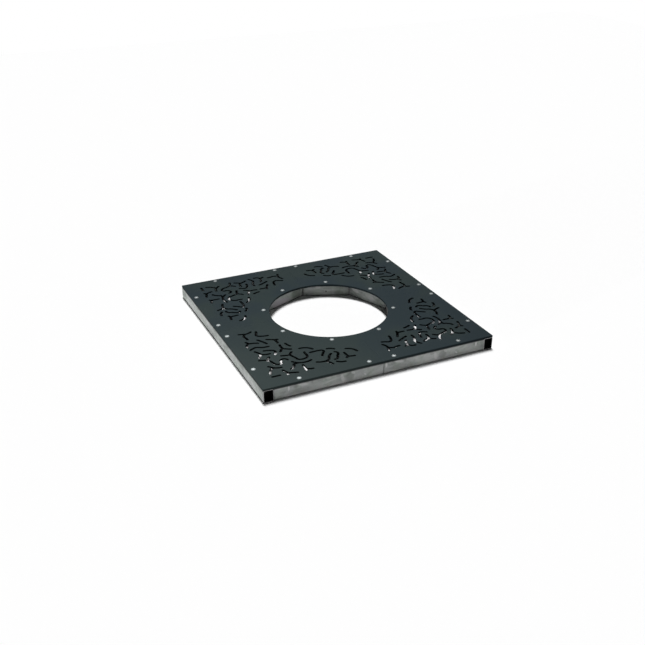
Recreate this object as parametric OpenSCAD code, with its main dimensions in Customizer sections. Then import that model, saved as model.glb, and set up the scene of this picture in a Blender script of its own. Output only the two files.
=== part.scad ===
// Steel tree grate: four laser-cut quarter plates screwed to a welded tube frame in two halves.
// The origin is on the ground under the middle of the trunk opening, with the front face at -Y.

/* [Overall] */
// Length of each side of the square grate
side = 1000; // [900:10:1400]
// Diameter of the trunk opening in the plates
opening_d = 510; // [400:10:560]

/* [Plates] */
// Thickness of the quarter plates
plate_t = 8; // [5:1:12]
// Gap between neighbouring quarter plates
plate_gap = 0.5; // [0.5:0.5:3]
// Width of the drainage slots
slot_w = 11; // [8:0.5:13]
// Least plain steel between a slot and the tubes, arms or joints beside it
slot_margin = 3; // [1:0.5:8]

/* [Frame] */
// Width of the frame tubes, seen from above
tube_w = 40; // [34:1:50]
// Height of the frame tubes
tube_h = 50; // [40:1:70]
// Wall of the frame tubes
tube_wall = 3; // [2.5:0.5:4]
// Outer corner radius of the frame tubes
tube_corner_r = 4.5; // [4:0.5:7]
// Gap between the two halves of the frame
frame_gap = 3; // [1:0.5:4]
// Reach of the plates past the inner faces of the ring
ring_lip = 4; // [2:0.5:8]

/* [Plate screws] */
// Thread diameter of the plate screws
screw_d = 10; // [8:1:12]
// Length of the plate screws below their heads
screw_len = 25; // [18:1:40]
// Diameter of the domed screw heads
screw_head_d = 17.5; // [16:0.5:21]
// Height of the domed screw heads
screw_head_h = 5.5; // [4:0.5:7]
// Width across flats of the hexagon socket
socket_w = 6; // [4:0.5:8]
// Depth of the hexagon socket
socket_depth = 3; // [2:0.5:3.5]
// Distance from the middle of a side to the screw beside the plate joint
screw_joint_offset = 54; // [48:1:80]
// Distance from a corner of the grate to the screw nearest to it
screw_corner_offset = 152; // [60:1:200]

/* [Screw inserts] */
// Outer diameter of the insert sleeves
insert_d = 13; // [12:0.5:15]
// Length of the insert sleeves
insert_len = 19; // [14:1:30]
// Diameter of the flush lip of an insert
insert_lip_d = 15.5; // [15:0.5:18]
// Height of the flush lip of an insert
insert_lip_h = 1; // [0.5:0.1:1.5]
// Diameter of the bulge that grips the tube wall from inside
insert_bulge_d = 18; // [17:0.5:22]
// Height of the bulge that grips the tube wall from inside
insert_bulge_h = 4; // [3:0.5:6]

/* [Joining bolts] */
// Thread diameter of the bolts that join the two halves
bolt_d = 12; // [8:1:14]
// Width across flats of the bolt heads and nuts
bolt_head_w = 18; // [17:1:22]
// Height of the bolt heads
bolt_head_h = 7.5; // [5:0.5:9]
// Height of the nuts
nut_h = 10; // [6:0.5:12]
// Bolt end that stands out of the nut
bolt_end = 4; // [2:1:8]
// Diameter of the washers
washer_d = 24; // [22:1:30]
// Thickness of the washers
washer_t = 2.5; // [1.5:0.5:3]
// Distance from either end of an arm to its nearest bolt
bolt_end_offset = 36; // [30:1:44]

/* [End caps] */
// Thickness of the caps' head, which stands in front of the end of the tube
cap_t = 2; // [1:0.5:4]
// Width of the tube's end that stays bare round the head of a cap
cap_edge = 2; // [0.5:0.5:2]
// Depth of the caps' skirt inside the tube
cap_skirt = 12; // [8:1:20]
// Wall of the caps' skirt, and of the floor that closes its inner end
cap_wall = 2; // [1.5:0.5:3]

/* [Hidden] */
// Clearance on the diameter between a part and the hole or tube it seats in
seat_clearance = 0.2;
// Clearance on the diameter of the holes that screws and bolts pass through
hole_clearance = 1;
// Overrun of every cut past the surface it leaves
overrun = 1;
// Growth of a slot's round ends and bends on the diameter, so that they cross its sides
slot_end_growth = 0.1;
// Straight rim below the dome of a screw head
screw_rim_h = 0.8;
// Chamfer at the tip of a screw or bolt
tip_chamfer = 1;
// Flat face of a bolt head or nut inside its chamfer, as a share of the width across flats
hexagon_face_share = 0.95;
// Slope of that chamfer, in degrees
hexagon_chamfer_slope = 30;
// Thickness of the caps' sealing fins, how far they stand out of the skirt, and their number
cap_fin_t = 1;
cap_fin_reach = 1.2;
cap_fins = 3;

$fn = 48;
// Sides of the trunk opening's outline
opening_sides = 240;

steel_grey = "#3a4345";
zinc_grey = "#b4b8ba";
screw_grey = "#c8cac9";
cap_black = "#101112";

ring_turn = 360 / 8;
half_ring_turn = ring_turn / 2;
quarter_turn = 360 / 4;

half_side = side / 2;
tube_mid = half_side - tube_w / 2;
frame_inside = half_side - tube_w;
plate_top = tube_h + plate_t;

// The inner faces of the ring lie under the plates, the plates' lip hangs over them
ring_inner = opening_d / 2 + ring_lip;
ring_mid = ring_inner + tube_w / 2;
ring_outer = ring_inner + tube_w;
ring_outer_corner = ring_outer / cos(half_ring_turn);

// The two split arms of one end lie side by side across the gap of the frame
arm_near = frame_gap / 2;
arm_mid = arm_near + tube_w / 2;
arm_far = arm_near + tube_w;
arm_free = frame_inside - ring_outer_corner;

// A short arm has room for one bolt only
bolt_places = arm_free >= 2 * bolt_end_offset + washer_d
    ? [frame_inside - bolt_end_offset, ring_outer_corner + bolt_end_offset]
    : [frame_inside - arm_free / 2];
bolt_seat = arm_far + washer_t;

// Places of the screws of the front left plate, from the middle of the grate
screw_far = half_side - screw_corner_offset;
screw_places = [
    [-screw_far, -tube_mid],
    [-screw_joint_offset, -tube_mid],
    [-tube_mid, -screw_far],
    [-tube_mid, -screw_joint_offset],
    for (steps = [1, 3]) ring_mid * [-cos(steps * half_ring_turn), -sin(steps * half_ring_turn)]
];

// Drainage slots of one quarter plate. A slot is a list of strokes, and a stroke a list of stations
// [across, up, bow]: the first two are shares of the quarter's side from the outer corner, and the
// bow of the stretch that ends there is a share of its length, to the left where it is positive.
slot_shares = [
    // Fork and hook at the end beside the left joint
    [[[0.135, 0.88], [0.18, 0.865, 0.05], [0.24, 0.885, -0.08]],
     [[0.18, 0.865], [0.16, 0.82, -0.1], [0.17, 0.77, 0.05]]],
    [[[0.28, 0.87], [0.26, 0.82, 0.05], [0.29, 0.78, -0.2], [0.345, 0.77, -0.05]]],
    // Fork, bar and fork in the next row
    [[[0.14, 0.73], [0.155, 0.7], [0.225, 0.68, 0.05]], [[0.155, 0.7], [0.125, 0.65, -0.2]]],
    [[[0.24, 0.73], [0.285, 0.645, 0.03]]],
    [[[0.31, 0.71], [0.365, 0.68], [0.39, 0.675]], [[0.365, 0.68], [0.37, 0.62, 0.05]]],
    // Wave, fork and hook
    [[[0.13, 0.595], [0.18, 0.62, 0.05], [0.225, 0.6, 0.05], [0.28, 0.595, -0.05]]],
    [[[0.15, 0.555], [0.18, 0.495, 0.05], [0.245, 0.48, -0.1]], [[0.175, 0.495], [0.15, 0.45, -0.05]]],
    [[[0.22, 0.54], [0.275, 0.525, 0.05], [0.295, 0.485, 0.25], [0.28, 0.455, 0.05]]],
    // Fork and short bar below the ring's left screw
    [[[0.37, 0.58], [0.37, 0.515, -0.05], [0.335, 0.475, -0.1]], [[0.37, 0.515], [0.425, 0.48, -0.05]]],
    [[[0.42, 0.585], [0.44, 0.53, -0.05]]],
    // Arc, and the two long forked slots in the middle of the plate
    [[[0.49, 0.46], [0.58, 0.41, 0.15]]],
    [[[0.13, 0.41], [0.19, 0.39, 0.05], [0.215, 0.335, 0.05], [0.245, 0.295, -0.15], [0.275, 0.325, -0.3],
      [0.31, 0.36, 0.2], [0.335, 0.335, 0.15]], [[0.19, 0.39], [0.22, 0.43, 0.05]]],
    [[[0.315, 0.41], [0.38, 0.395, -0.03], [0.405, 0.33], [0.445, 0.295, -0.25], [0.5, 0.35, -0.25],
      [0.5, 0.39, 0.05]], [[0.38, 0.395], [0.41, 0.435, 0.05]]],
    // Hooks, waves and arcs under the ring's lower screw
    [[[0.54, 0.365], [0.62, 0.365, 0.03], [0.645, 0.335, 0.3], [0.605, 0.28, -0.03]]],
    [[[0.685, 0.365], [0.735, 0.34, 0.12]]],
    [[[0.525, 0.205], [0.59, 0.19, -0.08], [0.635, 0.22, -0.15], [0.68, 0.28, 0.08]],
     [[0.595, 0.19], [0.625, 0.13, 0.05]]],
    [[[0.72, 0.295], [0.735, 0.265, 0.15], [0.71, 0.225, 0.03], [0.67, 0.185, 0.2]]],
    [[[0.82, 0.305], [0.885, 0.235, 0.15]]],
    [[[0.78, 0.25], [0.785, 0.185], [0.835, 0.175, -0.03]], [[0.785, 0.185], [0.765, 0.175]]],
    [[[0.67, 0.15], [0.73, 0.125, -0.12]]],
    // Forked arcs, forks and a bar along the two outer edges
    [[[0.355, 0.29], [0.42, 0.245, -0.1], [0.5, 0.255, -0.08]],
     [[0.39, 0.255], [0.35, 0.25], [0.335, 0.215, 0.1], [0.305, 0.19, 0.1]]],
    [[[0.16, 0.295], [0.185, 0.265], [0.245, 0.245, -0.08]], [[0.18, 0.26], [0.135, 0.185, -0.1]]],
    [[[0.13, 0.14], [0.19, 0.14]]],
    [[[0.24, 0.2], [0.265, 0.145, -0.05], [0.33, 0.125]], [[0.265, 0.145], [0.25, 0.13]]],
    [[[0.41, 0.21], [0.41, 0.15], [0.4, 0.13]], [[0.41, 0.15], [0.46, 0.13, -0.1]]]
];

// A station of the slot table as a place from the middle of the grate
function station_place(station) = [station[0] * half_side - half_side, station[1] * half_side - half_side];

// Distance of a place from the middle, measured square to the nearest side of the eight-sided ring
function ring_distance(place) = max([
    for (turn = [half_ring_turn : ring_turn : 360 - half_ring_turn]) place * [cos(turn), sin(turn)]
]);

// True where a slot through this place leaves plain steel over the ring, the tubes and the arms
function place_is_clear(place) =
    ring_distance(place) - slot_w / 2 - slot_margin >= ring_outer
    && max(-place[0], -place[1]) + slot_w / 2 + slot_margin <= frame_inside
    && min(-place[0], -place[1]) - slot_w / 2 - slot_margin >= arm_far;

function slot_is_clear(strokes) = min([
    for (stroke = strokes) for (station = stroke) place_is_clear(station_place(station)) ? 1 : 0
]) == 1;

// A straight stretch of a slot, or a curved one where it has a bow
module slot_stretch(from, to, bow) {
    chord = to - from;
    chord_len = norm(chord);
    heading = atan2(chord[1], chord[0]);
    if (bow == 0) {
        translate(from)
            rotate(heading)
                translate([0, -slot_w / 2])
                    square([chord_len, slot_w]);
    } else {
        arc_angle = 4 * atan(2 * abs(bow));
        arc_r = chord_len / 2 / sin(arc_angle / 2);
        to_centre = heading - sign(bow) * (90 - arc_angle / 2);
        centre = from + arc_r * [cos(to_centre), sin(to_centre)];
        first = bow > 0 ? to : from;
        first_angle = atan2(first[1] - centre[1], first[0] - centre[0]);
        far = (arc_r + slot_w) / cos(arc_angle / 2);
        translate(centre)
            rotate(first_angle)
                intersection() {
                    difference() {
                        circle(r = arc_r + slot_w / 2);
                        circle(r = arc_r - slot_w / 2);
                    }
                    polygon([[0, 0], [far, 0], far * [cos(arc_angle), sin(arc_angle)]]);
                }
    }
}

// The outline of one slot, with its forks and round ends
module slot(strokes) {
    for (stroke = strokes) {
        for (station = stroke)
            translate(station_place(station)) circle(d = slot_w + slot_end_growth);
        for (i = [1 : len(stroke) - 1]) {
            bow = is_undef(stroke[i][2]) ? 0 : stroke[i][2];
            slot_stretch(station_place(stroke[i - 1]), station_place(stroke[i]), bow);
        }
    }
}

// The front left plate, which the other three repeat at quarter turns
module quarter_plate() {
    color(steel_grey)
        translate([0, 0, tube_h])
            linear_extrude(plate_t)
                difference() {
                    translate([-half_side, -half_side]) square(half_side - plate_gap / 2);
                    circle(d = opening_d, $fn = opening_sides);
                    for (place = screw_places)
                        translate(place) circle(d = screw_d + hole_clearance);
                    for (strokes = slot_shares)
                        if (slot_is_clear(strokes)) slot(strokes);
                }
}

module rounded_rectangle(width, height, radius) {
    square([width - 2 * radius, height], center = true);
    square([width, height - 2 * radius], center = true);
    for (across = [-1, 1]) for (up = [-1, 1])
        translate([across * (width / 2 - radius), up * (height / 2 - radius)]) circle(r = radius);
}

// The inside of the tube, less a clearance all round
module tube_inside(clearance) {
    inner_r = max(tube_corner_r - tube_wall, tube_wall / 4);
    rounded_rectangle(
        tube_w - 2 * tube_wall - clearance,
        tube_h - 2 * tube_wall - clearance,
        inner_r
    );
}

// A straight tube that lies on the ground along +X
module tube(length) {
    translate([0, 0, tube_h / 2])
        rotate([90, 0, 90])
            linear_extrude(length)
                difference() {
                    rounded_rectangle(tube_w, tube_h, tube_corner_r);
                    tube_inside(0);
                }
}

// The countersunk hole in a tube's upper wall that an insert seats in
module insert_hole() {
    translate([0, 0, tube_h - tube_wall - overrun])
        cylinder(d = insert_d + seat_clearance, h = tube_wall + 2 * overrun);
    translate([0, 0, tube_h - insert_lip_h])
        cylinder(d1 = insert_d + seat_clearance, d2 = insert_lip_d + seat_clearance, h = insert_lip_h);
}

// The right-hand side tube, which runs the full depth of the grate
module side_tube() {
    color(zinc_grey)
        difference() {
            translate([tube_mid, -half_side, 0]) rotate(90) tube(side);
            for (place = [-screw_far, -screw_joint_offset, screw_joint_offset, screw_far])
                translate([tube_mid, place, 0]) insert_hole();
        }
}

// The right-hand front tube, from the gap of the frame to the side tube
module front_tube() {
    color(zinc_grey)
        difference() {
            translate([arm_near, -tube_mid, 0]) tube(frame_inside - arm_near);
            for (place = [screw_joint_offset, screw_far])
                translate([place, -tube_mid, 0]) insert_hole();
        }
}

// The space inside the outer faces of the ring, which the arms are cut to
module ring_space() {
    translate([0, 0, -overrun]) cylinder(r = ring_outer_corner, h = tube_h + 2 * overrun, $fn = 8);
}

// The right-hand front arm beside the gap, from the front tube to the ring
module split_arm() {
    color(zinc_grey)
        difference() {
            translate([arm_mid, -frame_inside, 0]) rotate(90) tube(frame_inside);
            ring_space();
            for (place = bolt_places)
                translate([arm_near - overrun, -place, tube_h / 2])
                    rotate([0, 90, 0])
                        cylinder(d = bolt_d + hole_clearance, h = tube_w + 2 * overrun);
        }
}

// The right-hand arm under the joint of two plates, from the ring to the side tube
module middle_arm() {
    color(zinc_grey)
        difference() {
            tube(frame_inside);
            ring_space();
        }
}

// One of the eight mitred tubes of the ring, counted anticlockwise from the right-hand middle arm
module ring_tube(place) {
    reach = ring_outer * tan(half_ring_turn) + overrun;
    far = ring_outer + overrun;
    color(zinc_grey)
        difference() {
            rotate(place * ring_turn - half_ring_turn)
                difference() {
                    intersection() {
                        translate([ring_mid, -reach, 0]) rotate(90) tube(2 * reach);
                        translate([0, 0, -overrun])
                            linear_extrude(tube_h + 2 * overrun)
                                polygon([
                                    [0, 0],
                                    [far, -far * tan(half_ring_turn)],
                                    [far, far * tan(half_ring_turn)]
                                ]);
                    }
                    translate([ring_mid, 0, 0]) insert_hole();
                }
            translate([-frame_gap / 2, -half_side, -overrun])
                cube([frame_gap, side, tube_h + 2 * overrun]);
        }
}

// A plastic cup with a flat head, which closes the front end of the right-hand side tube
module end_cap() {
    skirt_inset = seat_clearance + 2 * cap_fin_reach;
    fin_step = cap_skirt / cap_fins;
    color(cap_black)
        translate([tube_mid, -half_side, tube_h / 2])
            rotate([-90, 0, 0])
                difference() {
                    union() {
                        translate([0, 0, -cap_t])
                            linear_extrude(cap_t)
                                rounded_rectangle(
                                    tube_w - 2 * cap_edge,
                                    tube_h - 2 * cap_edge,
                                    tube_corner_r - cap_edge
                                );
                        linear_extrude(cap_skirt) tube_inside(skirt_inset);
                        for (fin = [1 : cap_fins])
                            translate([0, 0, fin * fin_step - (fin_step + cap_fin_t) / 2])
                                linear_extrude(cap_fin_t) tube_inside(seat_clearance);
                    }
                    translate([0, 0, -cap_t - overrun])
                        linear_extrude(cap_t + overrun + cap_skirt - cap_wall)
                            tube_inside(skirt_inset + 2 * cap_wall);
                }
}

// A button-head screw with its head seated on z = 0
module plate_screw() {
    head_r = screw_head_d / 2;
    dome_h = screw_head_h - screw_rim_h;
    dome_r = (head_r * head_r + dome_h * dome_h) / (2 * dome_h);
    difference() {
        intersection() {
            cylinder(d = screw_head_d, h = screw_head_h + overrun);
            translate([0, 0, screw_head_h - dome_r]) sphere(r = dome_r);
        }
        translate([0, 0, screw_head_h - socket_depth])
            cylinder(d = socket_w / cos(30), h = socket_depth + overrun, $fn = 6);
    }
    translate([0, 0, tip_chamfer - screw_len])
        cylinder(d = screw_d, h = screw_len - tip_chamfer);
    translate([0, 0, -screw_len])
        cylinder(d1 = screw_d - 2 * tip_chamfer, d2 = screw_d, h = tip_chamfer);
}

// A sleeve with a flush lip and a bulge behind the tube wall, its top on z = 0
module screw_insert() {
    difference() {
        union() {
            translate([0, 0, -insert_len])
                cylinder(d = insert_d, h = insert_len);
            translate([0, 0, -insert_lip_h])
                cylinder(d1 = insert_d, d2 = insert_lip_d, h = insert_lip_h);
            translate([0, 0, -tube_wall - insert_bulge_h])
                cylinder(d = insert_bulge_d, h = insert_bulge_h);
        }
        translate([0, 0, -insert_len - overrun])
            cylinder(d = screw_d + seat_clearance, h = insert_len + 2 * overrun);
    }
}

// Repeats what follows at the screws of all four plates, at the given height
module at_plate_screws(height) {
    for (turn = [0 : quarter_turn : 360 - quarter_turn])
        rotate(turn)
            for (place = screw_places)
                translate([place[0], place[1], height]) children();
}

// Repeats what follows at the joining bolts, with +Z along the bolt and z = 0 in the frame's gap
module at_joining_bolts() {
    for (end = [-1, 1])
        for (place = bolt_places)
            translate([0, end * place, tube_h / 2]) rotate([0, 90, 0]) children();
}

// A hexagonal bar with its corners chamfered at the upper end, and at the lower one too for a nut
module hexagon_bar(height, chamfer_both) {
    face_r = hexagon_face_share * bolt_head_w / 2;
    wide_r = face_r + height / tan(hexagon_chamfer_slope);
    intersection() {
        cylinder(d = bolt_head_w / cos(30), h = height, $fn = 6);
        cylinder(r1 = wide_r, r2 = face_r, h = height);
        cylinder(r1 = chamfer_both ? face_r : wide_r, r2 = wide_r, h = height);
    }
}

module washer(thickness) {
    difference() {
        cylinder(d = washer_d, h = thickness);
        translate([0, 0, -overrun])
            cylinder(d = bolt_d + hole_clearance, h = thickness + 2 * overrun);
    }
}

module plate_front_left() { quarter_plate(); }
module plate_front_right() { rotate(quarter_turn) quarter_plate(); }
module plate_back_right() { rotate(2 * quarter_turn) quarter_plate(); }
module plate_back_left() { rotate(3 * quarter_turn) quarter_plate(); }

module side_tube_left() { mirror([1, 0, 0]) side_tube(); }
module side_tube_right() { side_tube(); }
module front_tube_left() { mirror([1, 0, 0]) front_tube(); }
module front_tube_right() { front_tube(); }
module back_tube_left() { rotate(180) front_tube(); }
module back_tube_right() { mirror([0, 1, 0]) front_tube(); }

module split_arm_front_left() { mirror([1, 0, 0]) split_arm(); }
module split_arm_front_right() { split_arm(); }
module split_arm_back_left() { rotate(180) split_arm(); }
module split_arm_back_right() { mirror([0, 1, 0]) split_arm(); }
module middle_arm_left() { mirror([1, 0, 0]) middle_arm(); }
module middle_arm_right() { middle_arm(); }

module end_cap_front_left() { mirror([1, 0, 0]) end_cap(); }
module end_cap_front_right() { end_cap(); }
module end_cap_back_left() { rotate(180) end_cap(); }
module end_cap_back_right() { mirror([0, 1, 0]) end_cap(); }

module plate_screws() {
    color(screw_grey) at_plate_screws(plate_top) plate_screw();
}

module screw_inserts() {
    color(screw_grey) at_plate_screws(tube_h) screw_insert();
}

module joining_bolts() {
    bolt_len = 2 * bolt_seat + nut_h + bolt_end;
    color(screw_grey)
        at_joining_bolts()
            translate([0, 0, -bolt_seat]) {
                mirror([0, 0, 1]) hexagon_bar(bolt_head_h, false);
                cylinder(d = bolt_d, h = bolt_len - tip_chamfer);
                translate([0, 0, bolt_len - tip_chamfer])
                    cylinder(d1 = bolt_d, d2 = bolt_d - 2 * tip_chamfer, h = tip_chamfer);
            }
}

module joining_nuts() {
    color(screw_grey)
        at_joining_bolts()
            translate([0, 0, bolt_seat])
                difference() {
                    hexagon_bar(nut_h, true);
                    translate([0, 0, -overrun])
                        cylinder(d = bolt_d + seat_clearance, h = nut_h + 2 * overrun);
                }
}

module joining_washers() {
    color(screw_grey)
        at_joining_bolts()
            for (seat = [-bolt_seat, arm_far])
                translate([0, 0, seat]) washer(washer_t);
}

module joining_spacers() {
    color(screw_grey) at_joining_bolts() translate([0, 0, -arm_near]) washer(frame_gap);
}

plate_front_left();
plate_front_right();
plate_back_right();
plate_back_left();
side_tube_left();
side_tube_right();
front_tube_left();
front_tube_right();
back_tube_left();
back_tube_right();
split_arm_front_left();
split_arm_front_right();
split_arm_back_left();
split_arm_back_right();
middle_arm_left();
middle_arm_right();
ring_tube(1);  // ring_tube_1
ring_tube(2);  // ring_tube_2
ring_tube(3);  // ring_tube_3
ring_tube(4);  // ring_tube_4
ring_tube(5);  // ring_tube_5
ring_tube(6);  // ring_tube_6
ring_tube(7);  // ring_tube_7
ring_tube(8);  // ring_tube_8
end_cap_front_left();
end_cap_front_right();
end_cap_back_left();
end_cap_back_right();
plate_screws();
screw_inserts();
joining_bolts();
joining_nuts();
joining_washers();
joining_spacers();
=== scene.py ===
"""Studio picture of the steel tree grate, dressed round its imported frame.

Lengths are in metres. The ground is z = 0, the front of the grate is at -Y, and the middle of the
trunk opening is at the origin.
"""

import math
import bmesh
import bpy
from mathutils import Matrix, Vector


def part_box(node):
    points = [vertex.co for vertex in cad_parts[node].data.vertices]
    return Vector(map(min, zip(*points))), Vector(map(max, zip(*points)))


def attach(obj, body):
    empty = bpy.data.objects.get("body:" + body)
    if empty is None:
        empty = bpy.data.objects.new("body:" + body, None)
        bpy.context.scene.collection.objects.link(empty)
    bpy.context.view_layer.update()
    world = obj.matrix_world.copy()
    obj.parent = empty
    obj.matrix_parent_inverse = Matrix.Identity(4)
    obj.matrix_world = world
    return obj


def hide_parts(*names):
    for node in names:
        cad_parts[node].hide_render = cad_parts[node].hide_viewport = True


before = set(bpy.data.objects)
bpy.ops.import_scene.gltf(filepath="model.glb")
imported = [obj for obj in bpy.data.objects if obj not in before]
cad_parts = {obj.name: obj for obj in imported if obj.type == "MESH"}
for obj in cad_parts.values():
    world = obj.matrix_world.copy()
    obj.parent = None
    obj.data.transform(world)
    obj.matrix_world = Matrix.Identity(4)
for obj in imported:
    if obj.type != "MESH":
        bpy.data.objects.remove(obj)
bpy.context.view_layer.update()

# Camera, as the photograph was taken
CAMERA_PLACE = (-1.4803, -3.1149, 1.7531)
CAMERA_TILT = math.radians(62.963)
CAMERA_TURN = math.radians(-24.983)
CAMERA_LENS = 49.89

# Light: slopes are how far a lamp lies to the right and to the back for each metre that it lies above
KEY_RIGHT_SLOPE = 0.109
KEY_BACK_SLOPE = 0.312
KEY_SLOPE_STEP = 0.125
KEY_SHARES = (0.27, 0.46, 0.27)
KEY_SPREAD = math.radians(9.5)
KEY_ENERGY = 3.27
FILL_AZIMUTH = math.radians(196)
FILL_SLOPE = 0.015
FILL_SPREAD = math.radians(2)
FILL_ENERGY = 1.25
FILL_COLOUR = (1.0, 0.98, 1.0)
WHITE = (1.0, 1.0, 1.0)
SKY_GREY = 0.021

# Floor: the camera sees it nearly white, and less light comes back from it to the grate
FLOOR_SIZE = 14.0
FLOOR_WHITE = 0.98
FLOOR_BOUNCE = 0.46

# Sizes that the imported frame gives
SIDE_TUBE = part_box("side_tube_right")
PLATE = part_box("plate_front_left")
RING_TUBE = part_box("ring_tube_1")
SPLIT_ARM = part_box("split_arm_front_right")
TUBE_WIDTH = SIDE_TUBE[1].x - SIDE_TUBE[0].x
TUBE_HEIGHT = SIDE_TUBE[1].z - SIDE_TUBE[0].z
FRAME_INSIDE = SIDE_TUBE[0].x
PLATE_TOP = PLATE[1].z
RING_TURN = math.radians(45)
HALF_RING_TURN = RING_TURN / 2
RING_CORNER = RING_TUBE[1].x
RING_OUTER = RING_CORNER * math.cos(HALF_RING_TURN)
RING_INNER = RING_OUTER - TUBE_WIDTH
ARM_FAR = SPLIT_ARM[1].x

# The one tube of the ring that shows much darker in the photograph
# Its zinc is darkened all over with painted shade
SHADED_RING_TUBE = "ring_tube_8"

# Plates: a painted highlight makes their coat a little lighter close to the joints between them
EDGE_ROUNDING = 0.00025
ROUNDING_STEPS = 2
JOINT_HIGHLIGHT_EDGE = 0.0010
JOINT_HIGHLIGHT_END = 0.0016
JOINT_HIGHLIGHT_FACTOR = 1.25
FLAT_ANGLE = math.radians(0.5)
RIM_ANGLE = math.radians(80)

# Zinc: painted shade darkens the tubes just under the plates, and they are bright on their sawn ends
UNDER_PLATE_SHADE_START = TUBE_HEIGHT - 0.006
UNDER_PLATE_SHADE_END = TUBE_HEIGHT - 0.002
SAWN_START = SIDE_TUBE[1].y - 0.0004
SAWN_END = SIDE_TUBE[1].y - 0.0001

# Plate screws: the dome's rings run from the head's rim in to the socket's mouth
SOCKET_WIDTH = 0.006
SOCKET_DEPTH = 0.003
HEAD_HEIGHT = 0.0055
HEAD_RIM = 0.0008
SCREW_DIAMETER = 0.010
SCREW_PITCH = 0.0015
DOME_SHARES = (0.985, 0.9, 0.72, 0.52, 0.34, 0.16, 0.03, 0)
SOCKET_MOUTH_SHARE = 1.2
SOCKET_BEVEL_SHARE = 0.12
SOCKET_TIP_SHARE = 1.25
SCREW_SEED = 11

# Screw threads: how deep they are cut, as a share of the pitch
THREAD_DEPTH_SHARE = 0.6

# Joining bolts and nuts: face, top and chamfer are shares of half the width across flats, and mouth
# and sink are shares of the bore's radius
BOLT_DIAMETER = 0.012
BOLT_PITCH = 0.00175
BOLT_HEAD_HEIGHT = 0.0075
BOLT_PLAIN_SHARE = 0.55
BOLT_FACE = 0.0004
BOLT_FACE_SHARE = 0.94
BOLT_TOP_SHARE = 0.92
NUT_FACE_SHARE = 0.93
NUT_MOUTH_SHARE = 1.08
NUT_SINK_SHARE = 0.08
CHAMFER_SHARE = 0.96
CHAMFER_FALL = math.tan(math.radians(30))
WASHER_BORE_SHARE = 1.06
WASHER_EDGE_SHARE = 0.12

# Weld beads: upright, rippled, a little uneven, and blunt at both ends
BEAD_WIDTH = 0.0052
BEAD_END = 0.004
RIPPLE_PITCH = 0.0021
RIPPLE_SHARE = 0.16
RIPPLE_STEPS = 4.0
BEAD_SIDES = 10
BEAD_BLUNTNESS = 9.0
BEAD_TIP_SHARE = 0.02
BEAD_UNEVENNESS = 0.0006
LUMPS_PER_METRE = 180.0

# The ring's welded corners, counted from the right: the other two lie at the gap between the
# frame's halves
WELDED_CORNERS = (0, 1, 3, 4, 5, 7)

# Meshes and materials
MERGE_DISTANCE = 0.000001
SMOOTH_ANGLE = math.radians(35)
LEVEL_NORMAL = 0.999
SHELTER_SAMPLES = 8


def grey(level):
    """A neutral linear colour."""
    return (level, level, level, 1.0)


# Node trees


def feed(tree, socket, value):
    """Gives a socket a link, or a plain value."""
    if isinstance(value, bpy.types.NodeSocket):
        tree.links.new(value, socket)
    else:
        socket.default_value = value


def calculate(tree, operation, *values):
    """Works out a number from links and plain values."""
    node = tree.nodes.new("ShaderNodeMath")
    node.operation = operation
    for socket, value in zip(node.inputs, values):
        feed(tree, socket, value)
    return node.outputs[0]


def mix_colours(tree, share, first, second):
    """A colour that goes from the first to the second as the share grows."""
    node = tree.nodes.new("ShaderNodeMix")
    node.data_type = "RGBA"
    feed(tree, node.inputs["Factor"], share)
    colours = [socket for socket in node.inputs if socket.type == "RGBA"]
    feed(tree, colours[0], first)
    feed(tree, colours[1], second)
    return [socket for socket in node.outputs if socket.type == "RGBA"][0]


# Finishes


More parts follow.
